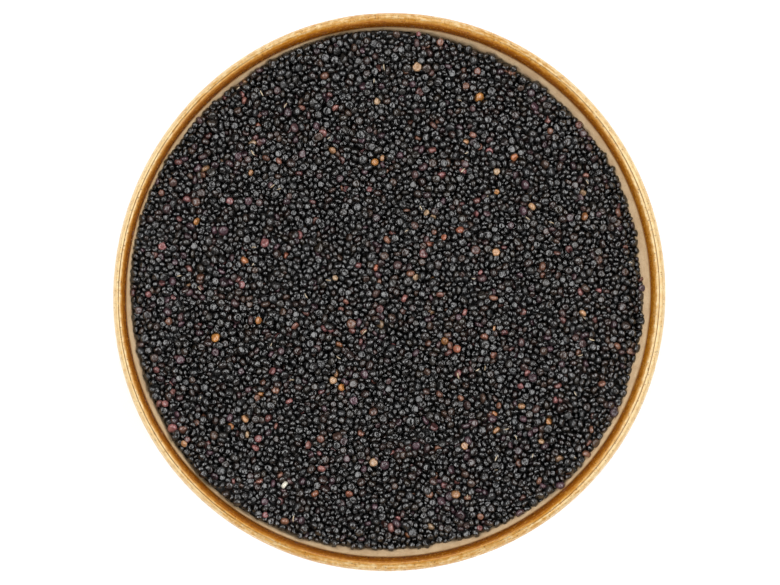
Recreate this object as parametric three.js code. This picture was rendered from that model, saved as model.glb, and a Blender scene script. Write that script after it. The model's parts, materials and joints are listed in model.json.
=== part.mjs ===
// A round stoneware dish, filled nearly level with dry black quinoa.
// Millimetres, +Z up, with the origin on the table under the middle of the dish.

import * as THREE from 'three';

// Dish: the lip
const dishRadius = 70;
const dishHeight = 44;
const edgeDrop = 2.4;
const crestRadius = 68.55;
const glazeEdgeRadius = 66.6;
const glazeEdgeDrop = 3;

// Dish: the inside, from the flat floor up a wall that leans out by wallLean
const floorTop = 7.5;
const floorRadius = 24;
const floorCurveRadius = 47;
const wallLean = 0.4;
const wallReach = 20;

// Dish: the outside and the foot ring
const shoulderDrop = 20;
const shoulderLean = 0.22;
const bellyRadius = 53;
const footRadius = 38;
const footInnerRadius = 33;
const footHeight = 4;
const footChamfer = 0.7;
const recessHeight = 3;
const recessRadius = 31;

// Dish: hand thrown, so its rings are a little out of round
const ovalAmount = 0.43;
const ovalAngle = THREE.MathUtils.degToRad(67);
const threeLobeAmount = 0.22;
const threeLobeAngle = THREE.MathUtils.degToRad(-29);

// Dish: facets
const dishSegments = 60;
const innerWallSteps = 6;
const outerWallSteps = 7;
const lipSteps = 3;

// Quinoa: how full the dish is, and how uneven the grains lie along the wall
const fillDrop = 6;
const middleDrop = 6.8;
const wallWaves = [
    { lobes: 1, amount: 0.6, angle: THREE.MathUtils.degToRad(165) },
    { lobes: 2, amount: 0.4, angle: THREE.MathUtils.degToRad(108) },
    { lobes: 3, amount: 0.65, angle: THREE.MathUtils.degToRad(93) },
    { lobes: 4, amount: 0.35, angle: THREE.MathUtils.degToRad(51) },
    { lobes: 5, amount: 0.55, angle: THREE.MathUtils.degToRad(23) },
    { lobes: 6, amount: 0.4, angle: THREE.MathUtils.degToRad(40) }
];
const hollowAmount = 0.35;
const hollowLength = 41;
const hollowShift = 7;
const wallGap = 0.35;

// Quinoa: bumps of the size of the grains
const fillRadius = 65.3;
const grainDiameter = 1.9;
const bumpStep = grainDiameter * 0.87;
const bumpHeight = 0.55;
const leastBump = 0.22;
const grainScatter = 0.42;
const wallMargin = 0.8 * bumpStep;
const grainSeed = 41;
const undersideSegments = 60;

const innerWall = new THREE.CubicBezierCurve(
    new THREE.Vector2(floorRadius, floorTop),
    new THREE.Vector2(floorCurveRadius, floorTop),
    new THREE.Vector2(
        glazeEdgeRadius - wallLean * wallReach,
        dishHeight - glazeEdgeDrop - wallReach
    ),
    new THREE.Vector2(glazeEdgeRadius, dishHeight - glazeEdgeDrop)
);
const innerWallPoints = innerWall.getPoints(innerWallSteps);

// From the middle of the underside, up the outside and over the lip, to the middle of the floor
function dishProfile() {
    const outerWall = new THREE.CubicBezierCurve(
        new THREE.Vector2(footRadius, footHeight),
        new THREE.Vector2(bellyRadius, footHeight),
        new THREE.Vector2(
            dishRadius - shoulderLean * shoulderDrop,
            dishHeight - edgeDrop - shoulderDrop
        ),
        new THREE.Vector2(dishRadius, dishHeight - edgeDrop)
    );
    const outerLip = new THREE.EllipseCurve(
        crestRadius, dishHeight - edgeDrop,
        dishRadius - crestRadius, edgeDrop,
        0, Math.PI / 2
    );
    const innerLip = new THREE.EllipseCurve(
        crestRadius, dishHeight - glazeEdgeDrop,
        crestRadius - glazeEdgeRadius, glazeEdgeDrop,
        Math.PI / 2, Math.PI
    );
    return [
        new THREE.Vector2(0, recessHeight),
        new THREE.Vector2(recessRadius, recessHeight),
        new THREE.Vector2(footInnerRadius, footChamfer),
        new THREE.Vector2(footInnerRadius + footChamfer, 0),
        new THREE.Vector2(footRadius - footChamfer, 0),
        new THREE.Vector2(footRadius, footChamfer),
        ...outerWall.getPoints(outerWallSteps),
        ...outerLip.getPoints(lipSteps).slice(1),
        ...innerLip.getPoints(lipSteps).slice(1, -1),
        ...innerWallPoints.toReversed(),
        new THREE.Vector2(0, floorTop)
    ];
}

// Radius of the faceted inner wall at a height
function cavityRadius(z) {
    const above = innerWallPoints.findIndex((point) => point.y >= z && point.y > floorTop);
    const low = innerWallPoints[above - 1];
    const high = innerWallPoints[above];
    return low.x + (high.x - low.x) * (z - low.y) / (high.y - low.y);
}

// Pushes the vertices out and in by their direction round the dish
function makeOutOfRound(geometry) {
    const position = geometry.getAttribute('position');
    for (let i = 0; i < position.count; i++) {
        const angle = Math.atan2(position.getY(i), position.getX(i));
        const push = ovalAmount * Math.cos(2 * (angle - ovalAngle))
            + threeLobeAmount * Math.cos(3 * (angle - threeLobeAngle));
        const scale = 1 + push / dishRadius;
        position.setXY(i, position.getX(i) * scale, position.getY(i) * scale);
    }
}

function makeDishGeometry() {
    const geometry = new THREE.LatheGeometry(dishProfile(), dishSegments);
    geometry.rotateX(Math.PI / 2);
    makeOutOfRound(geometry);
    return geometry;
}

// A linear congruential generator, giving the same numbers from 0 to 1 for a seed
function seededRandom(seed) {
    const modulus = 2 ** 32;
    let state = seed;
    return () => {
        state = (state * 1664525 + 1013904223) % modulus;
        return state / modulus;
    };
}

// Height of the fill, without its grains: wavy along the wall, softly hollowed in the middle
function fillHeight(x, y) {
    const angle = Math.atan2(y, x);
    let atWall = dishHeight - fillDrop;
    for (const wave of wallWaves) {
        atWall += wave.amount * Math.cos(wave.lobes * (angle - wave.angle));
    }
    const swing = 2 * Math.PI / hollowLength;
    const hollows = Math.sin(swing * (x + hollowShift)) * Math.sin(swing * (y - hollowShift));
    const atMiddle = dishHeight - middleDrop + hollowAmount * hollows;
    return THREE.MathUtils.lerp(atMiddle, atWall, (Math.hypot(x, y) / fillRadius) ** 4);
}

// A closed loop is a list of vertices, each with its index and its turn round the middle
function turnOf(x, y) {
    return (Math.atan2(y, x) + 2 * Math.PI) % (2 * Math.PI);
}

function addVertex(vertices, x, y, z) {
    vertices.push(x, y, z);
    return vertices.length / 3 - 1;
}

function addRing(vertices, radius, z, count) {
    const loop = [];
    for (let k = 0; k < count; k++) {
        const turn = 2 * Math.PI * k / count;
        const index = addVertex(vertices, radius * Math.cos(turn), radius * Math.sin(turn), z);
        loop.push({ index, turn });
    }
    return loop;
}

// Joins two closed loops with triangles, whatever their counts
function stitchLoops(triangles, upper, lower) {
    const turnAt = (loop, k) => (k < loop.length ? loop[k].turn : loop[0].turn + 2 * Math.PI);
    const indexAt = (loop, k) => loop[k % loop.length].index;
    let i = 0;
    let j = 0;
    while (i < upper.length || j < lower.length) {
        const upperFirst = turnAt(upper, i + 1) <= turnAt(lower, j + 1);
        if (j === lower.length || (i < upper.length && upperFirst)) {
            triangles.push(indexAt(upper, i), indexAt(lower, j), indexAt(upper, i + 1));
            i += 1;
        } else {
            triangles.push(indexAt(upper, i), indexAt(lower, j), indexAt(lower, j + 1));
            j += 1;
        }
    }
}

// The grains' bumps stand on a square grid, with a peak at every other corner
function addBumpyTop(vertices, triangles, random) {
    const corners = new Map();
    const cornerAt = (i, j) => {
        const key = `${i},${j}`;
        if (!corners.has(key)) {
            const x = i * bumpStep + grainScatter * (2 * random() - 1);
            const y = j * bumpStep + grainScatter * (2 * random() - 1);
            const side = (i + j) % 2 === 0 ? 1 : -1;
            const z = fillHeight(x, y) + side * THREE.MathUtils.lerp(leastBump, bumpHeight, random());
            const turn = turnOf(i, j);
            corners.set(key, { index: addVertex(vertices, x, y, z), turn, cells: 0 });
        }
        return corners.get(key);
    };
    const reach = Math.floor(fillRadius / bumpStep);
    for (let i = -reach; i < reach; i++) {
        for (let j = -reach; j < reach; j++) {
            const farX = Math.max(Math.abs(i), Math.abs(i + 1));
            const farY = Math.max(Math.abs(j), Math.abs(j + 1));
            if (Math.hypot(farX, farY) * bumpStep > fillRadius - wallMargin) {
                continue;
            }
            const cell = [
                cornerAt(i, j),
                cornerAt(i + 1, j),
                cornerAt(i + 1, j + 1),
                cornerAt(i, j + 1)
            ];
            cell.forEach((corner) => {
                corner.cells += 1;
            });
            const [a, b, c, d] = cell.map((corner) => corner.index);
            if ((i + j) % 2 === 0) {
                triangles.push(a, b, d, b, c, d);
            } else {
                triangles.push(a, b, c, a, c, d);
            }
        }
    }
    const edge = [...corners.values()].filter((corner) => corner.cells < 4);
    return edge.sort((first, second) => first.turn - second.turn);
}

// The line where the grains meet the wall
function addWallLine(vertices, random) {
    const count = 2 * Math.round(Math.PI * fillRadius / grainDiameter);
    const loop = [];
    for (let k = 0; k < count; k++) {
        const turn = 2 * Math.PI * k / count;
        const side = k % 2 === 0 ? 1 : -1;
        const level = fillHeight(fillRadius * Math.cos(turn), fillRadius * Math.sin(turn));
        const z = level + side * THREE.MathUtils.lerp(leastBump, bumpHeight, random());
        const radius = cavityRadius(z) - wallGap;
        const index = addVertex(vertices, radius * Math.cos(turn), radius * Math.sin(turn), z);
        loop.push({ index, turn });
    }
    return loop;
}

// The heap fills the cavity: bumpy above, and just clear of the wall and the floor below
function makeHeapGeometry() {
    const random = seededRandom(grainSeed);
    const vertices = [];
    const triangles = [];
    const topEdge = addBumpyTop(vertices, triangles, random);
    let loop = addWallLine(vertices, random);
    stitchLoops(triangles, topEdge, loop);
    const belowFill = innerWallPoints.slice(0, -1).reverse();
    belowFill.forEach((point, step) => {
        const count = step === 0 ? 2 * undersideSegments : undersideSegments;
        const lower = addRing(vertices, point.x - wallGap, point.y + wallGap, count);
        stitchLoops(triangles, loop, lower);
        loop = lower;
    });
    const middle = addVertex(vertices, 0, 0, floorTop + wallGap);
    loop.forEach((vertex, k) => {
        triangles.push(vertex.index, middle, loop[(k + 1) % loop.length].index);
    });
    const geometry = new THREE.BufferGeometry();
    geometry.setAttribute('position', new THREE.Float32BufferAttribute(vertices, 3));
    geometry.setIndex(triangles);
    makeOutOfRound(geometry);
    geometry.computeVertexNormals();
    return geometry;
}

const dish = new THREE.Mesh(
    makeDishGeometry(),
    new THREE.MeshStandardMaterial({ color: '#b5762a', roughness: 0.18, metalness: 0 })
);
dish.name = 'dish';

const quinoaHeap = new THREE.Mesh(
    makeHeapGeometry(),
    new THREE.MeshStandardMaterial({ color: '#2b2726', roughness: 0.5, metalness: 0 })
);
quinoaHeap.name = 'quinoa_heap';

const dishOfQuinoa = new THREE.Group();
dishOfQuinoa.add(dish, quinoaHeap);

export default dishOfQuinoa;
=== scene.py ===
import json
import math
from functools import partial

import bpy
import numpy as np
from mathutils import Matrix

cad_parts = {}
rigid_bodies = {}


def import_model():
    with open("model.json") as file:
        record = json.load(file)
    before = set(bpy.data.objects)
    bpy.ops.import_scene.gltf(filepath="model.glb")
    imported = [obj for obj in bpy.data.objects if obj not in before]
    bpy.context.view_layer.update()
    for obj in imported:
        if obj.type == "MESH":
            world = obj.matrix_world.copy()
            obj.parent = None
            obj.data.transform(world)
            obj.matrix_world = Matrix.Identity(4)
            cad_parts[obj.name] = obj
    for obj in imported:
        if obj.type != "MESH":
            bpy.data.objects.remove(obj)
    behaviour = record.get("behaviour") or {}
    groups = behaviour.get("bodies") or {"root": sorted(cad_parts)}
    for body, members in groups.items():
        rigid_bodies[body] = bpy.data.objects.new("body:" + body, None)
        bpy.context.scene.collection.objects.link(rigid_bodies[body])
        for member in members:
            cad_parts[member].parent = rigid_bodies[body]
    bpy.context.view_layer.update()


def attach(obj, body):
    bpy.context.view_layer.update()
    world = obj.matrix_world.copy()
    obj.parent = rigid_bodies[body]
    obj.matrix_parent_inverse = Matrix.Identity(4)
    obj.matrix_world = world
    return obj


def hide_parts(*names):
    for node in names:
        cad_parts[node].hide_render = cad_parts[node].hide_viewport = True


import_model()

mm = 0.001


# shared helpers

def linearColour(hexText):
    # sRGB hex to the linear colour that a shader socket takes
    parts = [int(hexText[i:i + 2], 16) / 255 for i in (1, 3, 5)]
    return (*[p / 12.92 if p <= 0.04045 else ((p + 0.055) / 1.055) ** 2.4 for p in parts], 1.0)


def addNode(tree, kind, settings=None, inputs=()):
    # Settings go on the node. Inputs, in order or by socket name or number, are values, sockets of other
    # nodes, or other nodes, which give their first output.
    node = tree.nodes.new(kind)
    for name, value in (settings or {}).items():
        setattr(node, name, value)
    for name, value in inputs.items() if isinstance(inputs, dict) else enumerate(inputs):
        if isinstance(value, bpy.types.Node):
            value = value.outputs[0]
        if isinstance(value, bpy.types.NodeSocket):
            tree.links.new(value, node.inputs[name])
        else:
            node.inputs[name].default_value = value
    return node


# kinds of node that are used often, each with its setting
plus, minus, times, timesPlus, dividedBy, largest, positive, toPower = (
    ("ShaderNodeMath", {"operation": name}) for name in (
        "ADD", "SUBTRACT", "MULTIPLY", "MULTIPLY_ADD", "DIVIDE", "MAXIMUM", "ABSOLUTE", "POWER"))
# its inputs are the value, the levels it goes from and to, and what these become
smooth = ("ShaderNodeMapRange", {"interpolation_type": "SMOOTHSTEP"})


def fillRamp(node, stops):
    # stops are (place, hex colour) pairs from 0 to 1
    ramp = node.color_ramp
    while len(ramp.elements) < len(stops):
        ramp.elements.new(0.5)
    for element, (place, colour) in zip(ramp.elements, stops):
        element.position = place
        element.color = linearColour(colour)
    return node


def newMaterial(name):
    material = bpy.data.materials.new(name)
    material.use_nodes = True
    material.node_tree.nodes.clear()
    add = partial(addNode, material.node_tree)
    return material, add, add("ShaderNodeTexCoord").outputs["Object"]


def newMeshObject(name, vertices, faces=(), edges=(), attributes=None, collection=None):
    mesh = bpy.data.meshes.new(name)
    mesh.from_pydata(np.asarray(vertices).tolist(), list(edges), list(faces), shade_flat=False)
    for label, values in (attributes or {}).items():
        values = np.asarray(values, dtype=np.float32)
        kind, field = ("FLOAT", "value") if values.ndim == 1 else ("FLOAT_VECTOR", "vector")
        mesh.attributes.new(label, kind, "POINT").data.foreach_set(field, values.ravel())
    mesh.update()
    piece = bpy.data.objects.new(name, mesh)
    (collection or bpy.context.scene.collection).objects.link(piece)
    return piece


def ringFaces(first, rings, around):
    # between rings of points that follow each other
    return [(low + k, low + around + k, low + around + (k + 1) % around, low + (k + 1) % around)
            for low in range(first, first + (rings - 1) * around, around) for k in range(around)]


def closedFaces(rings, around):
    # the same from top to bottom, closed by the first point and the last
    last = 1 + rings * around
    top = [(0, 1 + k, 1 + (k + 1) % around) for k in range(around)]
    bottom = [(last, last - around + (k + 1) % around, last - around + k) for k in range(around)]
    return top + ringFaces(1, rings, around) + bottom


def newGeometryTree(name, sockets):
    # sockets are the named inputs, each with its type
    tree = bpy.data.node_groups.new(name, "GeometryNodeTree")
    tree.interface.new_socket("Geometry", in_out="OUTPUT", socket_type="NodeSocketGeometry")
    for label, kind in {"Geometry": "Geometry", **sockets}.items():
        tree.interface.new_socket(label, in_out="INPUT", socket_type="NodeSocket" + kind)
    return tree, partial(addNode, tree)


def applyTree(source, tree, values):
    # runs the tree on an object and keeps the result as its plain mesh
    modifier = source.modifiers.new("made", "NODES")
    modifier.node_group = tree
    for item in tree.interface.items_tree:
        if item.in_out == "INPUT" and item.name in values:
            modifier[item.identifier] = values[item.name]
    evaluated = source.evaluated_get(bpy.context.evaluated_depsgraph_get())
    mesh = bpy.data.meshes.new_from_object(evaluated)
    source.modifiers.clear()
    old = source.data
    source.data = mesh
    mesh.name = source.name
    bpy.data.meshes.remove(old)


# the dish: its shape

dishSettings = {
    "radius": 70.0,  # outermost, in mm as all sizes here
    "height": 44.0,
    "edgeDrop": 2.4,  # from the crest down to the widest place
    "crestRadius": 68.3,
    "glazeEdgeRadius": 66.6,  # where the amber glaze ends inside
    "glazeEdgeDrop": 3.0,
    "floorTop": 7.5,
    "floorRadius": 24.0,
    "floorCurveRadius": 47.0,
    "wallLean": 0.3,
    "wallReach": 20.0,
    "shoulderDrop": 20.0,
    "shoulderLean": 0.22,
    "bellyRadius": 53.0,
    "footRadius": 38.0,
    "footInnerRadius": 33.0,
    "footHeight": 4.0,
    "footRounding": 0.7,
    "recessHeight": 3.0,
    "recessRadius": 31.0,
    "footGlazeGap": 1.6,  # bare clay shows this far above the foot's corner
    "throwingRings": 0.12,  # the potter's finger ridges outside
    "ringSpacing": 5.2,
    "ringFade": (9.0, 3.0, 6.0),  # from this high to this far below the edge, and how far they take to fade
    "glazeRoll": (0.05, 0.55, 0.45),  # how thick it ends, how far from its end, how wide
    "glazeOutside": (0.42, 26.0),  # its share of full thickness this far below the edge and on
    "glazeAtFoot": (0.35, 2.5),  # how much more it pools at its lower end, and over what height
    "lipShift": (-0.26, 0.05),  # the lip is a little thicker at +X: its crest and inside lie off centre
    "lipShiftRise": (12.0, 20.0),  # that comes in from this high, over this height
    # hand thrown, so it is a little out of round: lobes, mm, degrees
    "outOfRound": [(2, 0.43, 67), (3, 0.22, -29)],
    "segments": 256,
}


def smoothStep(t):
    t = np.clip(t, 0, 1)
    return t * t * (3 - 2 * t)


def cubicCurve(corners, steps):
    t = np.linspace(0, 1, steps + 1)[:, None]
    a, b, c, d = np.array(corners, dtype=float)
    return (1 - t) ** 3 * a + 3 * (1 - t) ** 2 * t * b + 3 * (1 - t) * t * t * c + t ** 3 * d


def ellipseArc(middle, halfSizes, start, end, steps):
    t = np.radians(np.linspace(start, end, steps + 1))
    return np.stack([middle[0] + halfSizes[0] * np.cos(t), middle[1] + halfSizes[1] * np.sin(t)], 1)


def innerWallCurve(steps):
    s = dishSettings
    glazeEdge = s["height"] - s["glazeEdgeDrop"]
    return cubicCurve([
        (s["floorRadius"], s["floorTop"]),
        (s["floorCurveRadius"], s["floorTop"]),
        (s["glazeEdgeRadius"] - s["wallLean"] * s["wallReach"], glazeEdge - s["wallReach"]),
        (s["glazeEdgeRadius"], glazeEdge),
    ], steps)


def dishProfile():
    # from the middle of the underside, up the outside and over the lip, to the middle of the floor
    s = dishSettings
    radius, crest, glazeRadius = s["radius"], s["crestRadius"], s["glazeEdgeRadius"]
    edgeHeight = s["height"] - s["edgeDrop"]
    glazeEdge = s["height"] - s["glazeEdgeDrop"]
    corner = s["footRounding"]
    recess = np.linspace((0, s["recessHeight"]), (s["recessRadius"], s["recessHeight"]), 9)
    footInside = ellipseArc((s["footInnerRadius"] + corner, corner), (corner, corner), 180, 270, 5)
    footOutside = ellipseArc((s["footRadius"] - corner, corner), (corner, corner), 270, 360, 5)
    outerWall = cubicCurve([
        (s["footRadius"], s["footHeight"]),
        (s["bellyRadius"], s["footHeight"]),
        (radius - s["shoulderLean"] * s["shoulderDrop"], edgeHeight - s["shoulderDrop"]),
        (radius, edgeHeight),
    ], 72)
    start, end, fade = s["ringFade"]
    z = outerWall[:, 1]
    fading = np.clip((z - start) / fade, 0, 1) * np.clip((edgeHeight - end - z) / fade, 0, 1)
    outerWall[:, 0] -= fading * s["throwingRings"] * (1 + np.sin(2 * np.pi * z / s["ringSpacing"]))
    outerLip = ellipseArc((crest, edgeHeight), (radius - crest, s["edgeDrop"]), 0, 90, 14)
    innerLip = ellipseArc((crest, glazeEdge), (crest - glazeRadius, s["glazeEdgeDrop"]), 90, 180, 20)
    innerWall = innerWallCurve(90)[::-1]
    floorLine = np.linspace((s["floorRadius"], s["floorTop"]), (0, s["floorTop"]), 8)
    parts = [recess, footInside, footOutside, outerWall, outerLip[1:], innerLip[1:], innerWall[1:],
             floorLine[1:]]
    points = np.concatenate(parts)
    outsideEnd = sum(len(p) for p in parts[:4])
    lipEnd = sum(len(p) for p in parts[:6])
    along = np.concatenate([[0], np.cumsum(np.hypot(*np.diff(points, axis=0).T))])
    fromGlazeEnd = along - along[lipEnd - 1]
    fromFoot = along - along[len(recess) + len(footInside) + len(footOutside)] - s["footGlazeGap"]
    # the glaze rolls over its own end, thickest just before it
    thick, place, width = s["glazeRoll"]
    roll = thick * np.exp(-((fromGlazeEnd + place) / width) ** 2)
    points[outsideEnd:, 0] -= roll[outsideEnd:]
    # how thick the glaze lies, 0 to 1: thin on edge and crest, thick inside the lip and down the outside
    isOutside = np.arange(len(points)) < outsideEnd
    inward = (crest - points[:, 0]) / (crest - glazeRadius)
    down = edgeHeight - points[:, 1]
    thick, depth = s["glazeOutside"]
    onOutside = thick * smoothStep(down / depth)
    thick, height = s["glazeAtFoot"]
    onOutside += thick * np.exp(-np.maximum(fromFoot, 0) / height)
    thickness = np.where(isOutside, onOutside, np.clip(inward, 0, 1))
    fromCrest = np.where(np.abs(down) > 4, 10, points[:, 0] - crest)  # 10 is far from it
    # the shift of the lip comes in over the crest and goes out again down the inside
    low, rise = s["lipShiftRise"]
    shift = smoothStep((radius - points[:, 0]) / (radius - crest))
    shift = np.where(isOutside, 0, shift) * smoothStep((points[:, 1] - low) / rise)
    return points * mm, {"glazeThickness": thickness, "fromGlazeEnd": fromGlazeEnd, "fromFoot": fromFoot,
                         "fromCrest": fromCrest, "lipShift": shift}


def lathedDishTree():
    # turns a profile of points into a closed surface, pushed a little out of round
    tree, add = newGeometryTree("ThrownDish", {
        "Segments": "Int", "Rim Radius": "Float", "Lip Shift": "Vector", "Finish": "Material"})
    glazeLabels = ("glazeThickness", "fromGlazeEnd", "fromFoot", "fromCrest")
    given = add("NodeGroupInput").outputs
    size = add("GeometryNodeAttributeDomainSize", None, [given["Geometry"]])
    around = add(*plus, [given["Segments"], 1.0])
    shape = add("GeometryNodeMeshGrid", None, {
        "Vertices X": size.outputs["Point Count"], "Vertices Y": around})
    index = add("GeometryNodeInputIndex")
    share = add(*dividedBy, [index, around])
    row = add("ShaderNodeMath", {"operation": "FLOOR"}, [share])
    column = add("ShaderNodeMath", {"operation": "MODULO"}, [index, around])
    angle = add(*times, [column, 2 * math.pi])
    angle = add(*dividedBy, [angle, given["Segments"]])

    # the profile's own values at each row of the grid
    profile = {label: add("GeometryNodeInputNamedAttribute", None, [label])
               for label in (*glazeLabels, "lipShift")}
    profile["place"] = add("GeometryNodeInputPosition")
    for label, value in profile.items():
        kind = "FLOAT_VECTOR" if label == "place" else "FLOAT"
        profile[label] = add("GeometryNodeSampleIndex", {"data_type": kind}, [
            given["Geometry"], value, row])

    push = 0.0
    for lobes, amount, degrees in dishSettings["outOfRound"]:
        # amount * cos(lobes * (angle - degrees))
        apart = add(*minus, [angle, math.radians(degrees)])
        many = add(*times, [apart, lobes])
        wave = add("ShaderNodeMath", {"operation": "COSINE"}, [many])
        push = add(*timesPlus, [wave, amount * mm, push])
    relative = add(*dividedBy, [push, given["Rim Radius"]])
    scale = add(*plus, [relative, 1.0])
    out, _, height = add("ShaderNodeSeparateXYZ", None, [profile["place"]]).outputs
    radius = add(*times, [out, scale])
    x, y = (add("ShaderNodeMath", {"operation": name}, [angle]) for name in ("COSINE", "SINE"))
    x, y = (add(*times, [radius, part]) for part in (x, y))
    point = add("ShaderNodeCombineXYZ", None, [x, y, height])
    shift = add("ShaderNodeVectorMath", {"operation": "SCALE"}, {
        0: given["Lip Shift"], "Scale": profile["lipShift"]})
    point = add("ShaderNodeVectorMath", {"operation": "ADD"}, [point, shift])

    for label in glazeLabels:
        shape = add("GeometryNodeStoreNamedAttribute", None, {
            "Geometry": shape, "Name": label, "Value": profile[label]})
    for kind, inputs in (("SetPosition", {"Position": point}), ("MergeByDistance", {"Distance": 2e-6}),
                         ("SetShadeSmooth", {}), ("SetMaterial", {"Material": given["Finish"]})):
        shape = add("GeometryNode" + kind, None, {"Geometry": shape, **inputs})
    add("NodeGroupOutput", None, [shape])
    return tree


# the dish: its finish

glazeSettings = {
    # the amber glaze from where it lies thin and breaks to where it pools, by its thickness from 0 to 1
    "amber": [(0.0, "#CCB284"), (0.1, "#C0985E"), (0.24, "#AD7C38"), (0.42, "#A26818"), (0.62, "#8E5104"),
              (0.84, "#804400"), (1.0, "#763C00")],
    "honey": "#AD7C38",
    # the dark of the iron specks, also used for the painted reflection line along the crest
    "speckAndCrestReflection": "#4A2A0C",
    "paleSpeck": "#C8923C",
    "beige": "#E0C39C",
    "beigeDark": "#CDAB84",
    "clay": "#BE9C76",
    "shine": "#FFECC8",  # the iron in the glaze warms what it mirrors
    "gloss": 0.12,  # roughness of the amber glaze
    "matt": 0.62,  # and of the beige one and the clay
    "patterns": {
        # how many per mm, detail, roughness, then from which level to which it shows, and how strongly
        "glazeEnd": (0.22, 2.0, 0.5),
        "broadClouds": (0.07, 3.0, 0.5),
        "smallClouds": (1.0, 3.0, 0.65),
        "honeyClouds": (0.5, 4.0, 0.65, 0.35, 0.68, 0.4),
        "mineral": (1.7, 1.0, 0.5, 0.58, 0.7, 0.35),
        "crestLine": (0.4, 2.0, 0.5),
        "crestGaps": (0.6, 2.0, 0.5, 0.2, 0.45, 1.0),
        "mottle": (0.35, 4.0, 0.65, 0.3, 0.7, 1.0),
        "dots": (2.4, 1.0, 0.5, 0.55, 0.7, 0.7),
        "clayMottle": (1.6, 3.0, 0.5, 0.3, 0.7, 0.5),
        "orangePeel": (0.45, 2.0, 0.5),
        "grit": (3.0, 3.0, 0.5),
    },
    "broadClouds": 0.16,  # how much each of these makes the glaze thicker and thinner
    "smallClouds": 0.26,
    "streaks": 0.3,
    "runs": 0.3,
    "streaksPerMm": (0.45, 1.7),  # along and across the lip
    "runsPerMm": (0.33, 0.05),  # along and down the wall
    "wallHeights": (41.0, 33.0),  # from lip to wall, where the streaks give way to runs
    "leftOnWall": (0.4, 0.2),  # of the streaks, and of the painted light at the sides
    # painted light: the glaze is drawn thinner, so paler, on the lip at +X and -X, where the side softboxes
    # light it; how much, and the share of that inside the crest
    "paintedSideLight": [(1, 0.4, 1.0), (-1, 0.4, 0.25)],
    "paintedSideLightSpread": 4.0,  # the higher, the less far they spread along the lip
    "lipAt": 67.0,  # mm from the middle
    "crestSides": (-1.2, 0.3),  # mm from the crest, inside and outside
    "thinnest": 0.1,
    "honeyWhereThin": (0.35, 0.05),
    "specks": [(1.2, 0.55), (2.4, 0.5)],  # two sizes of iron speck: cells per mm and darkness
    "speckSizes": (0.2, 1.0, 0.0, 0.3),  # the chances above 0.2 become sizes of up to 0.3 of a cell
    "speckEdge": (0.02, -0.05),
    "specksInside": 0.35,
    "edgeDown": 0.3,  # mm that the amber glaze reaches below its line
    "edgeTilt": 0.12,  # and this much further at -X, and so less far at +X
    "edgeWander": 0.25,
    "edgeFade": 0.9,  # mm over which it thins out
    "thinAtEnd": 0.85,
    "paintedCrestReflection": 0.8,  # how dark the painted reflection along the crest is: a dark line where the lip would mirror the dark space between the softboxes
    "paintedCrestReflectionEdge": (0.16, 0.03),  # mm from its middle
    "paintedCrestReflectionWander": 0.06,
    "paintedCrestReflectionFront": 0.3,  # how much of it is left towards the front and the back
    "paintedCrestReflectionSides": (15.0, 50.0),  # mm sideways, from front to side
    "footEdge": (0.15, -0.15),
    "orangePeel": (0.15, 0.25),  # strength and depth in mm of the waves in the surface
    "grit": (0.08, 0.12, 0.3),  # depth in mm, strength, and how much stronger where it is matt
    "ior": 1.68,
}


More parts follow.
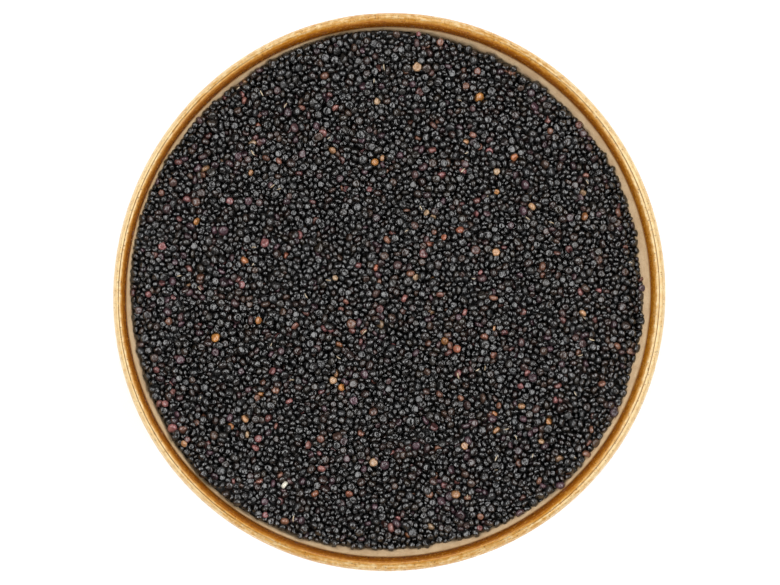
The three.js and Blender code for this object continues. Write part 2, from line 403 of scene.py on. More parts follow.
def stonewareMaterial():
    # Speckled stoneware: thrown clay, dipped in a matt beige glaze, with a glossy iron amber glaze over the
    # lip and the outside. The amber one is clear enough to look dark where it is thick.
    s = glazeSettings
    material, add, place = newMaterial("GlazedStoneware")
    x, _, z = add("ShaderNodeSeparateXYZ", None, [place]).outputs
    given = {name: add("ShaderNodeAttribute", {"attribute_name": name}).outputs["Fac"]
             for name in ("glazeThickness", "fromGlazeEnd", "fromFoot", "fromCrest")}
    pattern = {}
    for name, (perMm, detail, roughness, *shows) in s["patterns"].items():
        pattern[name] = add("ShaderNodeTexNoise", None, {
            "Vector": place, "Scale": perMm / mm, "Detail": detail, "Roughness": roughness})
        if shows:
            low, high, most = shows
            pattern[name] = add(*smooth, [pattern[name], low, high, 0.0, most])

    # towards its end inside, the amber glaze first thins to honey, then lets the beige through
    down, fade, swing = s["edgeDown"], s["edgeFade"], s["edgeWander"]
    wander = add(*timesPlus, [pattern["glazeEnd"], 2 * swing, -swing])
    tilted = add(*timesPlus, [x, s["edgeTilt"] / (dishSettings["radius"] * mm), wander])
    fromEnd = add(*plus, [given["fromGlazeEnd"], tilted])
    thinning = add(*smooth, [fromEnd, down - 1.3 * fade, down + 0.5 * fade])
    isInside = add(*smooth, [fromEnd, down - 0.5 * fade, down + fade])

    # brushed streaks run along the lip, as their third coordinate runs across it; below it the glaze ran in
    # soft streaks, longer than they are wide
    along, across = s["streaksPerMm"]
    flat = add("ShaderNodeVectorMath", {"operation": "MULTIPLY"}, [place, (along / mm, along / mm, 0)])
    acrossLip = add(*times, [given["fromGlazeEnd"], across])
    upright = add("ShaderNodeCombineXYZ", None, {"Z": acrossLip})
    brushed = add("ShaderNodeVectorMath", {"operation": "ADD"}, [flat, upright])
    along, downwards = s["runsPerMm"]
    run = add("ShaderNodeVectorMath", {"operation": "MULTIPLY"}, [
        place, (along / mm, along / mm, downwards / mm)])
    streaks, runs = (add("ShaderNodeTexNoise", None, {"Vector": vector, "Scale": 1.0, "Detail": 2.0})
                     for vector in (brushed, run))

    # how thick the amber glaze lies
    lip, wall = s["wallHeights"]
    onWall = add(*smooth, [z, lip * mm, wall * mm])
    streaky, onLip = (add(*timesPlus, [onWall, left - 1, 1.0]) for left in s["leftOnWall"])
    thickness = given["glazeThickness"]
    for change, amount, where in (
            (pattern["broadClouds"], s["broadClouds"], 1.0),
            (pattern["smallClouds"], s["smallClouds"], 1.0),
            (streaks, s["streaks"], streaky), (runs, s["runs"], onWall)):
        upAndDown = add(*timesPlus, [change, 2 * amount, -amount])
        thickness = add(*timesPlus, [upAndDown, where, thickness])
    # painted light: thinner, paler glaze towards +X and -X, where the side softboxes light the lip
    for side, amount, inside in s["paintedSideLight"]:
        toSide = add(*times, [x, side / (s["lipAt"] * mm)])
        toSide = add(*largest, [toSide, 0.0])
        near = add(*toPower, [toSide, s["paintedSideLightSpread"]])
        less = add(*smooth, [given["fromCrest"], *s["crestSides"], -amount * inside, -amount])
        thinner = add(*times, [onLip, less])
        thickness = add(*timesPlus, [near, thinner, thickness])
    kept = add(*timesPlus, [thinning, -s["thinAtEnd"], 1.0])
    thickness = add(*timesPlus, [thickness, kept, s["thinnest"]])

    # specks of iron, round and of many sizes
    specks = 0.0
    for perMm, darkness in s["specks"]:
        cells = add("ShaderNodeTexVoronoi", None, {"Vector": place, "Scale": perMm / mm})
        chance = add("ShaderNodeSeparateColor", None, [cells.outputs["Color"]])
        size = add(*smooth, [chance, *s["speckSizes"]])
        away = add(*minus, [cells, size])
        speckAndCrestReflection = add(*smooth, [away, *s["speckEdge"], 0.0, darkness])
        specks = add(*largest, [specks, speckAndCrestReflection])
    softSpecks = add(*times, [specks, s["specksInside"]])

    # painted reflection: a dark line along the crest, for the dark space between the softboxes that the lip
    # mirrors, strongest at the sides where they light the lip on both sides of it
    swing = s["paintedCrestReflectionWander"]
    shifted = add(*timesPlus, [pattern["crestLine"], 2 * swing, -swing])
    offCrest = add(*plus, [given["fromCrest"], shifted])
    offCrest, sideways = (add(*positive, [value]) for value in (offCrest, x))
    paintedCrestReflection = add(*smooth, [offCrest, *s["paintedCrestReflectionEdge"], 0.0, s["paintedCrestReflection"]])
    front, side = s["paintedCrestReflectionSides"]
    atSides = add(*smooth, [sideways, front * mm, side * mm, s["paintedCrestReflectionFront"]])
    for part in (atSides, pattern["crestGaps"]):
        paintedCrestReflection = add(*times, [paintedCrestReflection, part])

    # both glazes and the clay with their marks and the painted crest reflection, then one over the other
    isThin = add(*smooth, [thickness, *s["honeyWhereThin"]])
    honeyClouds = add(*times, [isThin, pattern["honeyClouds"]])
    aboveFoot = add(*plus, [given["fromFoot"], wander])
    isFoot = add(*smooth, [aboveFoot, *s["footEdge"]])
    colours = {name: linearColour(s[name]) for name in (
        "honey", "speckAndCrestReflection", "paleSpeck", "beige", "beigeDark", "clay")}
    colours["amber"] = fillRamp(add("ShaderNodeValToRGB", None, [thickness]), s["amber"])
    for under, share, over in (
            ("amber", honeyClouds, "honey"), ("amber", pattern["mineral"], "paleSpeck"),
            ("amber", specks, "speckAndCrestReflection"), ("amber", paintedCrestReflection, "speckAndCrestReflection"),
            ("beige", pattern["mottle"], "beigeDark"), ("beige", pattern["dots"], "beigeDark"),
            ("beige", softSpecks, "speckAndCrestReflection"), ("clay", pattern["clayMottle"], "beigeDark"),
            ("amber", isInside, "beige"), ("amber", isFoot, "clay")):
        colours[under] = add("ShaderNodeMix", {"data_type": "RGBA"}, {
            "Factor": share, 6: colours[under], 7: colours[over]}).outputs[2]

    matt = add(*largest, [isInside, isFoot])
    roughness = add(*smooth, [matt, 0.0, 1.0, s["gloss"], s["matt"]])
    strength, depth = s["orangePeel"]
    orangePeel = add("ShaderNodeBump", None, {
        "Height": pattern["orangePeel"], "Strength": strength, "Distance": depth * mm})
    depth, strength, more = s["grit"]
    gritty = add(*timesPlus, [matt, more, strength])
    grit = add("ShaderNodeBump", None, {
        "Height": pattern["grit"], "Strength": gritty, "Distance": depth * mm, "Normal": orangePeel})
    surface = add("ShaderNodeBsdfPrincipled", None, {
        "Base Color": colours["amber"], "Roughness": roughness, "IOR": s["ior"],
        "Specular Tint": linearColour(s["shine"]), "Normal": grit})
    add("ShaderNodeOutputMaterial", None, [surface])
    return material


def makeDish():
    points, attributes = dishProfile()
    flat = np.stack([points[:, 0], np.zeros(len(points)), points[:, 1]], 1)
    edges = [(i, i + 1) for i in range(len(flat) - 1)]
    dish = newMeshObject("stonewareDish", flat, edges=edges, attributes=attributes)
    s = dishSettings
    x, y = s["lipShift"]
    applyTree(dish, lathedDishTree(), {
        "Segments": s["segments"], "Rim Radius": s["radius"] * mm, "Lip Shift": (x * mm, y * mm, 0.0),
        "Finish": stonewareMaterial()})
    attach(dish, "root")
    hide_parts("dish")
    return dish


dish = makeDish()
print("dish:", len(dish.data.polygons), "faces")


# the fill: how high the quinoa lies

fillSettings = {
    "radius": 65.3,
    "drop": 5.8,  # below the crest, along the wall
    "middleDrop": 6.6,
    "waves": [(1, 0.85, 163), (2, 0.54, 95), (3, 0.82, 94), (4, 0.35, 53), (5, 0.79, 22), (6, 0.44, 40)],
    "hollowAmount": 0.35,
    "hollowLength": 41.0,
    "hollowShift": 7.0,
    "wallRise": 1.4,  # the grains ride up this much over the last few mm to the wall
    "wallRiseStart": 57.0,
    "coreDepth": 2.4,  # real grains lie this deep on the core
}


def fillHeight(x, y):
    # in mm, as its arguments; each wave is its lobes, amount and degrees
    s = fillSettings
    angle = np.arctan2(y, x)
    atWall = dishSettings["height"] - s["drop"]
    for lobes, amount, degrees in s["waves"]:
        atWall = atWall + amount * np.cos(lobes * (angle - math.radians(degrees)))
    swing = 2 * math.pi / s["hollowLength"]
    hollows = np.sin(swing * (x + s["hollowShift"])) * np.sin(swing * (y - s["hollowShift"]))
    atMiddle = dishSettings["height"] - s["middleDrop"] + s["hollowAmount"] * hollows
    out = np.hypot(x, y)
    toWall = (out / s["radius"]) ** 4
    rise = s["wallRise"] * smoothStep((out - s["wallRiseStart"]) / (s["radius"] - s["wallRiseStart"]))
    return atMiddle + (atWall - atMiddle) * toWall + rise


def wallRadius(z):
    curve = innerWallCurve(60)
    return np.interp(z, curve[:, 1], curve[:, 0])


# the grains: shaken down until they rest on the core, the wall and each other

grainSettings = {
    "count": 8500,
    "halfWidth": 1.02,  # mm
    "sizeSpread": 0.165,
    "sizeRange": (0.62, 1.35),
    "narrowest": 0.86,  # other width over width
    "flatness": (0.45, 0.68),  # thickness over width
    "startHeights": (0.6, 1.5),  # mm above the core, and the spread as a share of the layer's depth
    "fromWall": 0.3,
    "steps": 160,
    "fall": 0.06,  # mm a step
    "lateFall": (0.7, 0.25),  # after this share of the steps they sink this much slower
    "pairsWithin": 2.7,  # mm
    "moveShare": 0.75,  # of each push and each turn, so that it settles calmly
    "turnShare": 0.6,
    "mostTurn": 0.25,  # radians a step
    "spinInertia": 4.0,  # high, so that many stay on edge
    "seed": 5,
    "kindSeed": 8,
    "upperLayer": 0.2,  # mm below the fill that a grain of the upper layer reaches at least
}


def findPairs(places, reach):
    # every two grains closer than reach, found by cells
    cell = np.floor(places[:, :2] / reach).astype(int)
    cell -= cell.min(0) - 1
    width = cell[:, 1].max() + 3
    key = cell[:, 0] * width + cell[:, 1]
    order = np.argsort(key, kind="stable")
    sortedKey = key[order]
    first, second = [], []
    for dx, dy in ((0, 0), (0, 1), (1, -1), (1, 0), (1, 1)):
        low = np.searchsorted(sortedKey, key + dx * width + dy, "left")
        many = np.searchsorted(sortedKey, key + dx * width + dy, "right") - low
        i = np.repeat(np.arange(len(places)), many)
        step = np.arange(many.sum()) - np.repeat(np.cumsum(many) - many, many)
        j = order[np.repeat(low, many) + step]
        keep = (j > i) if dx == dy == 0 else np.ones(len(i), bool)
        first.append(i[keep])
        second.append(j[keep])
    i, j = np.concatenate(first), np.concatenate(second)
    near = ((places[j] - places[i]) ** 2).sum(1) < reach * reach
    return i[near], j[near]


def gathered(index, values, count):
    return np.stack([np.bincount(index, values[:, k], count) for k in range(3)], 1)


def solveSymmetric(m, v):
    # x where m x = v, for many symmetric 3 by 3 matrices
    a, b, c, d, e, f = m[:, 0, 0], m[:, 0, 1], m[:, 0, 2], m[:, 1, 1], m[:, 1, 2], m[:, 2, 2]
    p, q, r = d * f - e * e, c * e - b * f, b * e - c * d
    s, t, u = a * f - c * c, b * c - a * e, a * d - b * b
    size = a * p + b * q + c * r
    x, y, z = v.T
    sums = np.stack([p * x + q * y + r * z, q * x + s * y + t * z, r * x + t * y + u * z], 1)
    return sums / size[:, None]


def turnedBy(turns, spin):
    angle = np.maximum(np.linalg.norm(spin, axis=1), 1e-9)
    k = spin / angle[:, None]
    angle = np.minimum(angle, grainSettings["mostTurn"])
    cross = np.zeros((len(spin), 3, 3))
    cross[:, 0, 1], cross[:, 0, 2], cross[:, 1, 2] = -k[:, 2], k[:, 1], -k[:, 0]
    cross[:, 1, 0], cross[:, 2, 0], cross[:, 2, 1] = k[:, 2], -k[:, 1], k[:, 0]
    sine = np.sin(angle)[:, None, None]
    versine = (1 - np.cos(angle))[:, None, None]
    return (np.eye(3) + sine * cross + versine * (cross @ cross)) @ turns


def randomTurns(rng, count):
    # matrices whose third column is the grain's flat axis
    height = rng.random(count)
    around = rng.random(count) * 2 * np.pi
    level = np.sqrt(1 - height * height)
    flat = np.stack([level * np.cos(around), level * np.sin(around), height], 1)
    helper = np.where(height[:, None] < 0.9, [[0.0, 0.0, 1.0]], [[1.0, 0.0, 0.0]])
    side = np.cross(helper, flat)
    side /= np.linalg.norm(side, axis=1, keepdims=True)
    other = np.cross(flat, side)
    spin = rng.random((count, 1)) * 2 * np.pi
    x = np.cos(spin) * side + np.sin(spin) * other
    y = np.cos(spin) * other - np.sin(spin) * side
    return np.stack([x, y, flat], 2)


def settleGrains():
    # Grains are flattened balls. Each step lets them sink a little, then pushes and turns apart
    # those that overlap, by the contact measure of two ellipsoids.
    s = grainSettings
    count = s["count"]
    inertia = s["spinInertia"]
    rng = np.random.default_rng(s["seed"])
    width = np.clip(rng.normal(1, s["sizeSpread"], count), *s["sizeRange"]) * s["halfWidth"]
    other, thick = rng.uniform(s["narrowest"], 1, count), rng.uniform(*s["flatness"], count)
    half = np.stack([width, width * other, width * thick], 1)
    turns = randomTurns(rng, count)
    radius = (fillSettings["radius"] - s["fromWall"]) * np.sqrt(rng.random(count))
    around = rng.random(count) * 2 * np.pi
    places = np.stack([radius * np.cos(around), radius * np.sin(around), np.zeros(count)], 1)
    depth = fillSettings["coreDepth"]
    lowest, spread = s["startHeights"]
    coreTop = fillHeight(*places.T[:2]) - depth
    places[:, 2] = coreTop + lowest + rng.random(count) * depth * spread
    for step in range(s["steps"]):
        if step % 4 == 0:
            first, second = findPairs(places, s["pairsWithin"])
        shape = np.einsum("nij,nj,nkj->nik", turns, half ** 2, turns)
        apart = places[second] - places[first]
        toward = solveSymmetric(shape[first] + shape[second], apart)
        contact = 0.5 * (apart * toward).sum(1)
        hit = contact < 1
        i, j = first[hit], second[hit]
        normal = toward[hit] / np.linalg.norm(toward[hit], axis=1, keepdims=True)
        overlap = (apart[hit] * normal).sum(1) * (1 / np.sqrt(np.maximum(contact[hit], 0.05)) - 1)
        onFirst = np.einsum("nij,nj->ni", shape[i], normal)
        onFirst /= np.sqrt((onFirst * normal).sum(1))[:, None]
        onSecond = -np.einsum("nij,nj->ni", shape[j], normal)
        onSecond /= np.sqrt(-(onSecond * normal).sum(1))[:, None]
        leverFirst, leverSecond = np.cross(onFirst, normal), np.cross(onSecond, normal)
        yielding = 2 + ((leverFirst ** 2).sum(1) + (leverSecond ** 2).sum(1)) / inertia
        push = (overlap / yielding)[:, None]
        move = gathered(j, push * normal, count) - gathered(i, push * normal, count)
        spin = gathered(j, push * leverSecond / inertia, count)
        spin -= gathered(i, push * leverFirst / inertia, count)

        # the core below
        reachDown = np.sqrt(shape[:, 2, 2])
        under = fillHeight(*places.T[:2]) - depth - (places[:, 2] - reachDown)
        lever = np.cross(-shape[:, :, 2] / reachDown[:, None], [0.0, 0.0, 1.0])
        lift = np.where(under > 0, under / (1 + (lever ** 2).sum(1) / inertia), 0)[:, None]
        move += lift * [0.0, 0.0, 1.0]
        spin += lift * lever / inertia

        # the wall around
        out = np.hypot(places[:, 0], places[:, 1])
        outward = np.stack([places[:, 0] / out, places[:, 1] / out, np.zeros(count)], 1)
        reachOut = np.sqrt(np.einsum("ni,nij,nj->n", outward, shape, outward))
        over = out + reachOut - wallRadius(places[:, 2]) + 0.02
        move -= np.maximum(over, 0)[:, None] * outward

        places += s["moveShare"] * move
        late, slower = s["lateFall"]
        places[:, 2] -= s["fall"] * (1 if step < late * s["steps"] else slower)
        turns = turnedBy(turns, s["turnShare"] * spin)
    return places, turns, half


places, turns, half = settleGrains()
print("grains settled:", len(places))


# the grains: their shapes

seedSettings = {
    "corners": 8,
    "fineCorners": 14,  # for the few light ones, whose outline shows
    "few": 100,
    # variants as (middle height, inner ring height, ridge height, notch depth, roughness of form)
    "variants": [
        (0.88, 0.90, 0.72, 0.00, 0.05),
        (0.80, 0.86, 0.74, 0.16, 0.06),
        (0.66, 0.80, 0.78, 0.26, 0.06),
        (0.98, 0.88, 0.64, 0.12, 0.08),
        (0.56, 0.76, 0.78, 0.32, 0.06),
        (0.84, 0.92, 0.70, 0.08, 0.10),
        (0.44, 0.70, 0.80, 0.36, 0.06),
        (0.92, 0.84, 0.68, 0.28, 0.10),
    ],
    "ringRadii": (0.45, 0.80),
    "notchWidth": 0.55,  # radians
    "seed": 21,
}


def newShapes(name):
    shapes = bpy.data.collections.new(name)
    bpy.context.scene.collection.children.link(shapes)
    return shapes


def removeShapes(shapes):
    for shape in list(shapes.objects):
        bpy.data.objects.remove(shape)
    bpy.data.collections.remove(shapes)


def makeSeedShapes(corners):
    # A quinoa seed is a thick disc: its germ runs round the edge as a ridge, with a notch where its
    # ends meet, and each face is dished or domed inside it.
    s = seedSettings
    rng = np.random.default_rng(s["seed"])
    shapes = newShapes("seedShapes")
    inside, edge = s["ringRadii"]
    angles = np.arange(corners) * 2 * np.pi / corners
    cuts = np.exp(-(np.minimum(angles, 2 * np.pi - angles) / s["notchWidth"]) ** 2)
    for number, (middle, inner, ridge, notch, uneven) in enumerate(s["variants"]):
        uneven *= s["corners"] / corners
        # rings as (radius, height, how much of the ridge's wear and painted highlight); the middle and the
        # notch get less, as painted shade
        rings = [(inside, inner, 0.4), (edge, ridge, 1.0), (1.0, 0.0, 0.7),
                 (edge, -ridge, 1.0), (inside, -inner, 0.4)]
        vertices, marks = [(0, 0, middle)], [0.25]
        for radius, height, mark in rings:
            for angle, cut in zip(angles, cuts):
                wobble = 1 + rng.normal(0, uneven)
                r = radius * wobble * (1 - notch * cut * radius)
                h = height * (1 + rng.normal(0, uneven)) * (1 - 0.8 * notch * cut)
                vertices.append((r * math.cos(angle), r * math.sin(angle), h + rng.normal(0, uneven * 0.4)))
                marks.append(mark * (1 - cut * notch * 2))
        vertices.append((0, 0, -middle))
        marks.append(0.25)
        newMeshObject("seedShape%d.%d" % (number, corners), vertices, closedFaces(len(rings), corners),
                      attributes={"ridge": marks}, collection=shapes)
    return shapes


def scatterTree():
    # a random shape at each point, turned and stretched by the point's own attributes
    tree, add = newGeometryTree("ScatteredSeeds", {
        "Shapes": "Collection", "Size": "Float", "Seed": "Int", "Finish": "Material"})
    given = add("NodeGroupInput").outputs
    shapes = add("GeometryNodeCollectionInfo", None, [given["Shapes"], True, True])
    count = add("GeometryNodeAttributeDomainSize", {"component": "INSTANCES"}, [shapes])
    most = add(*minus, [count.outputs["Instance Count"], 1.0])
    # 4, 5 and its output 2 are the whole numbers
    pick = add("FunctionNodeRandomValue", {"data_type": "INT"}, {4: 0, 5: most, "Seed": given["Seed"]})
    turn, stretch = (add("GeometryNodeInputNamedAttribute", {"data_type": "FLOAT_VECTOR"}, [label])
                     for label in ("turn", "stretch"))
    rotation = add("FunctionNodeEulerToRotation", None, [turn])
    scale = add("ShaderNodeVectorMath", {"operation": "SCALE"}, {0: stretch, "Scale": given["Size"]})
    shape = add("GeometryNodeInstanceOnPoints", None, {
        "Points": given["Geometry"], "Instance": shapes, "Pick Instance": True,
        "Instance Index": pick.outputs[2], "Rotation": rotation, "Scale": scale})
    shape = add("GeometryNodeRealizeInstances", None, [shape])
    shape = add("GeometryNodeSetMaterial", None, {"Geometry": shape, "Material": given["Finish"]})
    add("NodeGroupOutput", None, [shape])
    return tree


# the grains: their kinds and colours

coatSettings = {
    # each kind: slot, dark coat colour, the two light ones that its grains lie between, share of all
    # grains, weight and roughness of the waxy shine
    "quinoaJet": ("quinoa_black", "#020202", ("#0A0A0A", "#0C0907"), 0.27, 1.0, 0.10),
    "quinoaCharcoal": ("quinoa_black", "#040403", ("#131314", "#17120F"), 0.27, 0.9, 0.13),
    "quinoaSlate": ("quinoa_black", "#080808", ("#292A2B", "#2C2823"), 0.17, 0.8, 0.17),
    "quinoaUmber": ("quinoa_black", "#0A0605", ("#2F1E19", "#2A231A"), 0.16, 0.9, 0.14),
    "quinoaPlum": ("quinoa_plum", "#110C0C", ("#513840", "#4C382C"), 0.085, 0.8, 0.17),
    "quinoaRose": ("quinoa_rose", "#1E0E0D", ("#8C5756", "#805641"), 0.032, 0.8, 0.17),
    "quinoaOrange": ("quinoa_orange", "#3E2012", ("#A26048", "#B87C3C"), 0.002, 0.9, 0.16),
    "quinoaTan": ("quinoa_tan", "#4A3520", ("#B8855A", "#AE9070"), 0.003, 0.8, 0.2),
    "quinoaPale": ("quinoa_pale", "#A89E88", ("#DAD4C4", "#DAD4C4"), 0.0, 0.8, 0.28),
}
markedGrains = {
    # the lighter grains that stand out, with their places in mm
    "quinoaPale": [(-26, -49.5)],
    "quinoaTan": [(17, -52), (38.5, -37), (-36.5, -32), (-53, -38.5), (-35.5, -35.5), (-2, 33.5),
        (27.5, 30.5), (-35, 30), (5.5, 56.5), (19.5, 38.5), (35.5, 21.5), (9.5, 18.5), (7, 3.5), (-4, 48.5),
        (27.5, 11)],
    "quinoaOrange": [(-4, 33), (-13, -23.5), (41, -33.5), (12, 15), (17.5, 15.5), (27, -30.5), (-49, 19.5),
        (-41.5, -33.5), (32.5, 33.5), (17, -14), (-4.5, 5.5)],
    "quinoaRose": [(35, -20.5), (18, -51.5), (-28, 35), (19, 51.5), (-21.5, -38.5), (-54.5, -26),
        (-37.5, 49.5), (55, -22.5), (28.5, -27.5), (40.5, 40.5), (2.5, -2)],
}


seedCoat = {
    "blotchesPerMm": 1.4,
    "blotches": 0.7,  # how much these and the ridge, worn and painted lighter, lighten the coat
    "ridgeWearAndPaintedLight": 0.35,
    "levels": (0.3, 1.7),  # of all that together, from the dark colour to the light one
    "wrinklesPerMm": 2.4,
    "wrinkles": 0.85,
    "wrinkleDepth": 0.12,  # mm
    "roughness": 0.5,
    "shineIor": 1.85,
}


def coatMaterial(name, dark, lights, shine, gloss):
    # Dry seed coat: papery and wrinkled, half matt, lighter on the ridge by wear and painted highlight, and
    # darker in the dimples and darkest in the notch by painted shade
    s = seedCoat
    material, add, place = newMaterial(name + "Coat")
    tint, ridge = (add("ShaderNodeAttribute", {"attribute_name": label}).outputs["Fac"]
                   for label in ("tint", "ridge"))
    blotches, wrinkles = (add("ShaderNodeTexNoise", None, {
        "Vector": place, "Scale": perMm / mm, "Detail": detail, "Roughness": 0.6})
        for perMm, detail in ((s["blotchesPerMm"], 3.0), (s["wrinklesPerMm"], 1.0)))
    # the ridge lighter by wear and painted highlight, the middle and the notch darker by painted shade
    ridgeWornAndLit = add(*timesPlus, [ridge, s["ridgeWearAndPaintedLight"], tint])
    level = add(*timesPlus, [blotches, s["blotches"], ridgeWornAndLit])
    shade = add("ShaderNodeMapRange", None, [level, *s["levels"]])
    # each grain's own place between the two light colours, which has to differ from its tint
    stir = add(*times, [tint, 9.7])
    own = add("ShaderNodeMath", {"operation": "FRACT"}, [stir])
    light = fillRamp(add("ShaderNodeValToRGB", None, [own]), [(0.2, lights[0]), (0.8, lights[1])])
    colour = add("ShaderNodeMix", {"data_type": "RGBA"}, {
        "Factor": shade, 6: linearColour(dark), 7: light}).outputs[2]
    bump = add("ShaderNodeBump", None, {
        "Height": wrinkles, "Strength": s["wrinkles"], "Distance": s["wrinkleDepth"] * mm})
    surface = add("ShaderNodeBsdfPrincipled", None, {
        "Base Color": colour, "Roughness": s["roughness"], "IOR": 1.1, "Normal": bump, "Coat Weight": shine,
        "Coat Roughness": gloss, "Coat IOR": s["shineIor"], "Coat Normal": bump})
    add("ShaderNodeOutputMaterial", None, [surface])
    return material


def eulerAngles(turns):
    # XYZ angles of many rotation matrices
    y = -np.arcsin(np.clip(turns[:, 2, 0], -1, 1))
    x = np.arctan2(turns[:, 2, 1], turns[:, 2, 2])
    z = np.arctan2(turns[:, 1, 0], turns[:, 0, 0])
    return np.stack([x, y, z], 1)


def grainTops():
    # how high each grain reaches, and which of them lie in the upper layer
    shape = np.einsum("nij,nj,nkj->nik", turns, half ** 2, turns)
    tops = places[:, 2] + np.sqrt(shape[:, 2, 2])
    return tops, tops > fillHeight(*places.T[:2]) - grainSettings["upperLayer"]


def shareOutKinds():
    # a random kind for each grain, by the shares, then the marked ones
    rng = np.random.default_rng(grainSettings["kindSeed"])
    names = list(coatSettings)
    shares = np.array([coatSettings[name][3] for name in names])
    kinds = rng.choice(len(names), len(places), p=shares / shares.sum())
    tints = rng.random(len(places))
    upper = np.flatnonzero(grainTops()[1])
    for name, spots in markedGrains.items():
        for x, y in spots:
            away = np.hypot(places[upper, 0] - x, places[upper, 1] - y)
            chosen = upper[np.argmin(away + 2 * half[upper, 0])]  # a small one near the place
            kinds[chosen] = names.index(name)
            tints[chosen] = 0.5 + 0.5 * tints[chosen]
    return kinds, tints


def makeGrains():
    shapes = makeSeedShapes(seedSettings["corners"])
    fineShapes = makeSeedShapes(seedSettings["fineCorners"])
    tree = scatterTree()
    kinds, tints = shareOutKinds()
    angles = eulerAngles(turns)
    for number, (name, (slotName, dark, lights, share, shine, gloss)) in enumerate(coatSettings.items()):
        mine = kinds == number
        grains = newMeshObject(name, places[mine] * mm, attributes={
            "turn": angles[mine], "stretch": half[mine], "tint": tints[mine]})
        chosen = fineShapes if mine.sum() < seedSettings["few"] else shapes
        applyTree(grains, tree, {"Shapes": chosen, "Size": mm, "Seed": 100 + number,
                                 "Finish": coatMaterial(name, dark, lights, shine, gloss)})
        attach(grains, "root")
        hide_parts("quinoa_heap")
        print(name, int(mine.sum()), "grains,", len(grains.data.polygons), "faces")
    removeShapes(shapes)
    removeShapes(fineShapes)


makeGrains()


# husks: thin flakes among the grains

huskSettings = {
    "count": 48,
    "length": 1.7,
    "lengthRange": (0.6, 1.1),
    "curl": (0.15, 0.5),  # this and the width as shares of the length
    "width": (0.07, 0.15),
    "tilts": (0.25, 0.3),  # radians, lengthwise and sideways
    "shift": 0.5,  # mm at most from the middle of the grain below
    "shapes": 4,
    "rings": 7,
    "straw": [(0.3, "#86704E"), (0.7, "#CFC1A8")],
    "streaksPerMm": 1.1,
    "roughness": 0.7,
    "seed": 33,
}


def makeHuskShapes():
    # curved, pointed slivers, one unit long, with four corners round
    s = huskSettings
    rng = np.random.default_rng(s["seed"])
    shapes = newShapes("huskShapes")
    for number in range(s["shapes"]):
        curl, width = rng.uniform(*s["curl"]), rng.uniform(*s["width"])
        vertices = []
        for t in np.linspace(-1, 1, s["rings"]):
            across = width * math.sqrt(1.02 - t * t)
            lift = curl * (0.5 - t * t) * 0.4
            bend = 0.12 * curl * math.sin(2.2 * t + number)
            for side, up in ((-1, 0), (0, 0.035), (1, 0), (0, -0.03)):
                vertices.append((0.5 * t, side * across + bend, lift + up + 0.1 * across * side * side))
        last = len(vertices) - 1
        faces = [(0, 1, 2, 3), (last, last - 1, last - 2, last - 3)] + ringFaces(0, s["rings"], 4)
        newMeshObject("huskShape%d" % number, vertices, faces, collection=shapes)
    return shapes


def huskMaterial():
    # Dry chaff: thin and matt, straw to cream
    s = huskSettings
    material, add, place = newMaterial("StrawHusk")
    streaks = add("ShaderNodeTexNoise", None, {
        "Vector": place, "Scale": s["streaksPerMm"] / mm, "Detail": 2.0})
    colour = fillRamp(add("ShaderNodeValToRGB", None, [streaks]), s["straw"])
    surface = add("ShaderNodeBsdfPrincipled", None, {"Base Color": colour, "Roughness": s["roughness"]})
    add("ShaderNodeOutputMaterial", None, [surface])
    return material


def makeHusks():
    # each lies on a grain of the upper layer
    s = huskSettings
    count = s["count"]
    rng = np.random.default_rng(s["seed"] + 1)
    tops, isUpper = grainTops()
    under = rng.choice(np.flatnonzero(isUpper & (tops > fillHeight(*places.T[:2]))), count)
    spots = places[under]
    spots[:, :2] += rng.uniform(-s["shift"], s["shift"], (count, 2))
    spots[:, 2] = tops[under] + 0.02
    tilts = [rng.normal(0, tilt, count) for tilt in s["tilts"]]
    turn = np.stack([*tilts, rng.random(count) * 2 * np.pi], 1)
    size = s["length"] * rng.uniform(*s["lengthRange"], count)
    husks = newMeshObject("quinoaHusks", spots * mm, attributes={
        "turn": turn, "stretch": np.stack([size] * 3, 1)})
    shapes = makeHuskShapes()
    applyTree(husks, scatterTree(), {
        "Shapes": shapes, "Size": mm, "Seed": s["seed"], "Finish": huskMaterial()})
    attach(husks, "root")
    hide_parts("quinoa_heap")
    removeShapes(shapes)
    return husks


husks = makeHusks()
print("husks:", len(husks.data.polygons), "faces")


# the core under the loose grains

coreSettings = {
    "spacing": 0.62,
    "segments": 320,
    "bumpSpacing": 1.75,
    "bumpHeight": 0.7,
    "bumpShift": 0.38,  # of their spacing
    "bumpSizes": (0.85, 1.15),
    "bumpHeights": (0.5, 1.0),
    "wallGap": 0.12,
    "tint": 0.2,
    "seed": 13,
}


def bumpField(x, y):
    # rounded bumps of the grains' size: the height of the nearest of a jittered grid of caps
    s = coreSettings
    spacing, shift = s["bumpSpacing"], s["bumpShift"]
    rng = np.random.default_rng(s["seed"])
    edge = dishSettings["radius"] + 2
    cells = int(2 * edge / spacing)
    jitter = rng.uniform(-shift, shift, (cells, cells, 2))
    size = rng.uniform(*s["bumpSizes"], (cells, cells))
    lift = rng.uniform(*s["bumpHeights"], (cells, cells))
    column, row = (np.floor((value + edge) / spacing).astype(int) for value in (x, y))
    best = np.zeros_like(x)
    for dx in (-1, 0, 1):
        for dy in (-1, 0, 1):
            i, j = np.clip(column + dx, 0, cells - 1), np.clip(row + dy, 0, cells - 1)
            middleX = (i + 0.5 + jitter[i, j, 0]) * spacing - edge
            middleY = (j + 0.5 + jitter[i, j, 1]) * spacing - edge
            away = ((x - middleX) ** 2 + (y - middleY) ** 2) / size[i, j] ** 2
            best = np.maximum(best, lift[i, j] * np.sqrt(np.maximum(1 - away, 0)))
    return best * s["bumpHeight"]


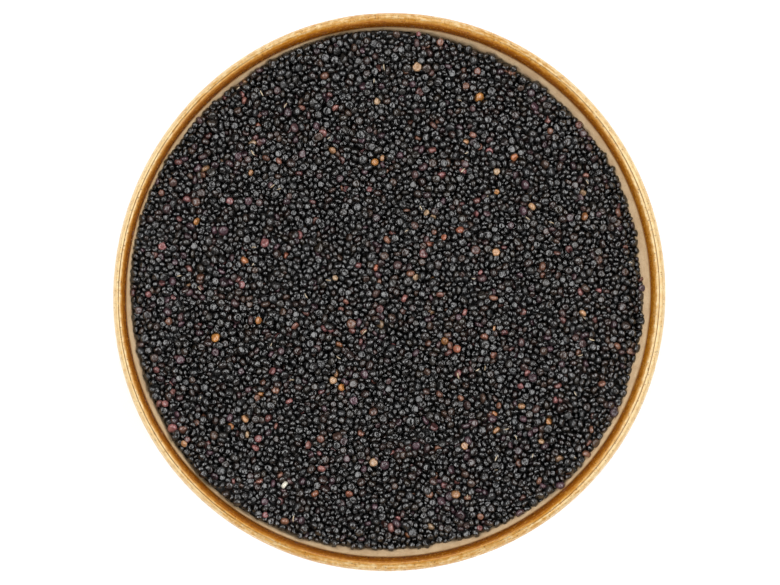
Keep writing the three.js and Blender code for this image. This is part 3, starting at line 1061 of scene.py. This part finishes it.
def makeCore():
    s = coreSettings
    gap, around = s["wallGap"], s["segments"]
    reach, depth = fillSettings["radius"], fillSettings["coreDepth"]
    turn = np.arange(around) * 2 * np.pi / around
    cosine, sine = np.cos(turn), np.sin(turn)
    middle = fillHeight(np.array(0.0), np.array(0.0)) - depth - s["bumpHeight"] / 2
    rings = []
    topRings = int(reach / s["spacing"])
    for k in range(1, topRings + 1):
        share = k / topRings
        level = fillHeight(cosine * reach * share, sine * reach * share) - depth
        out = share * (wallRadius(level) - gap)
        x, y = cosine * out, sine * out
        bumps = bumpField(x, y) if k < topRings else 0
        rings.append(np.stack([x, y, level - s["bumpHeight"] + bumps], 1))
    # down the wall to the floor
    wall = innerWallCurve(24)[::-1]
    for radius, z in wall[wall[:, 1] < rings[-1][:, 2].min() - 0.5]:
        out = radius - gap
        rings.append(np.stack([out * cosine, out * sine, np.full(around, z + gap)], 1))
    vertices = np.concatenate([[(0, 0, middle)], *rings, [(0, 0, dishSettings["floorTop"] + gap)]])
    # out of round as the dish is
    angle = np.arctan2(vertices[:, 1], vertices[:, 0])
    push = sum(amount * np.cos(lobes * (angle - math.radians(degrees)))
               for lobes, amount, degrees in dishSettings["outOfRound"])
    vertices[:, :2] *= (1 + push / dishSettings["radius"])[:, None]
    core = newMeshObject("quinoaCore", vertices * mm, closedFaces(len(rings), around), attributes={
        "tint": np.full(len(vertices), s["tint"]), "ridge": np.zeros(len(vertices))})
    core.data.materials.append(coatMaterial("quinoaCore", "#030303", ("#0B0A0A", "#0B0A0A"), 0.6, 0.3))
    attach(core, "root")
    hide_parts("quinoa_heap")
    return core


core = makeCore()
print("core:", len(core.data.polygons), "faces")


# floor, light and camera

studioSettings = {
    # in metres
    "target": (-0.0004, 0.0001, 0.0416),
    "distance": 0.55,
    "tilt": math.radians(4),  # the camera stands a little to the left of straight above
    "lens": 100.82,
    "floor": "#F6F6F4",
    "floorGlow": (0.16, 0.85),  # it glows where the softboxes no longer light it
    "glowDistances": (0.5, 1.3),
    "ambient": 0.011,
    # the floor's outline as (radius, height): it turns up into a low wall, so that it looks endless
    "sweep": [(2.6, 0), (2.6, 0), (2.85, 0.03), (3, 0.13), (3.05, 0.3), (3.05, 0.52)],
    "segments": 96,
    # each softbox: place, width and depth, watts
    "softboxes": {
        "softboxLeft": ((-0.75, 0.0, 0.95), (1.5, 0.9), 15.7),
        "softboxRight": ((0.75, 0.0, 0.95), (1.5, 0.9), 15.1),
        "softboxBack": ((0.0, 0.95, 0.85), (0.9, 0.6), 4.9),
        "softboxFront": ((0.0, -0.95, 0.85), (0.6, 0.5), 1.6),
    },
    "softboxTarget": (0, 0, 0.03),
}


def makeFloor():
    s = studioSettings
    around = s["segments"]
    turn = np.arange(around) * 2 * np.pi / around
    vertices = [(radius * math.cos(t), radius * math.sin(t), z) for radius, z in s["sweep"] for t in turn]
    wall = ringFaces(around, len(s["sweep"]) - 1, around)
    floor = newMeshObject("floor", vertices, [tuple(range(around))] + [face[::-1] for face in wall])
    material, add, place = newMaterial("PaleFloor")
    away = add("ShaderNodeVectorMath", {"operation": "LENGTH"}, [place]).outputs["Value"]
    glow = add(*smooth, [away, *s["glowDistances"], *s["floorGlow"]])
    surface = add("ShaderNodeBsdfPrincipled", None, {
        "Base Color": linearColour(s["floor"]), "Roughness": 0.9,
        "Emission Color": (1, 1, 1, 1), "Emission Strength": glow})
    add("ShaderNodeOutputMaterial", None, [surface])
    floor.data.materials.append(material)


def makeLights():
    s = studioSettings
    world = bpy.data.worlds.new("studio")
    world.use_nodes = True
    background = world.node_tree.nodes["Background"]
    background.inputs["Color"].default_value = (1, 1, 1, 1)
    background.inputs["Strength"].default_value = s["ambient"]
    bpy.context.scene.world = world
    for name, (place, (width, depth), watts) in s["softboxes"].items():
        light = bpy.data.lights.new(name, "AREA")
        light.shape = "RECTANGLE"
        light.size, light.size_y = width, depth
        light.energy = watts
        lamp = bpy.data.objects.new(name, light)
        lamp.location = place
        x, y, z = np.subtract(place, s["softboxTarget"])
        lamp.rotation_euler = (math.acos(z / math.hypot(x, y, z)), 0, math.atan2(y, x) + math.pi / 2)
        bpy.context.scene.collection.objects.link(lamp)


def makeCamera():
    s = studioSettings
    camera = bpy.data.cameras.new("camera")
    camera.lens = s["lens"]
    camera.clip_start = 0.01
    viewer = bpy.data.objects.new("camera", camera)
    bpy.context.scene.collection.objects.link(viewer)
    x, y, z = s["target"]
    viewer.location = (x - s["distance"] * math.sin(s["tilt"]), y, z + s["distance"] * math.cos(s["tilt"]))
    viewer.rotation_euler = (0, -s["tilt"], 0)
    bpy.context.scene.camera = viewer
    bpy.context.scene.view_settings.view_transform = "Standard"


makeFloor()
makeLights()
makeCamera()
print("studio ready")
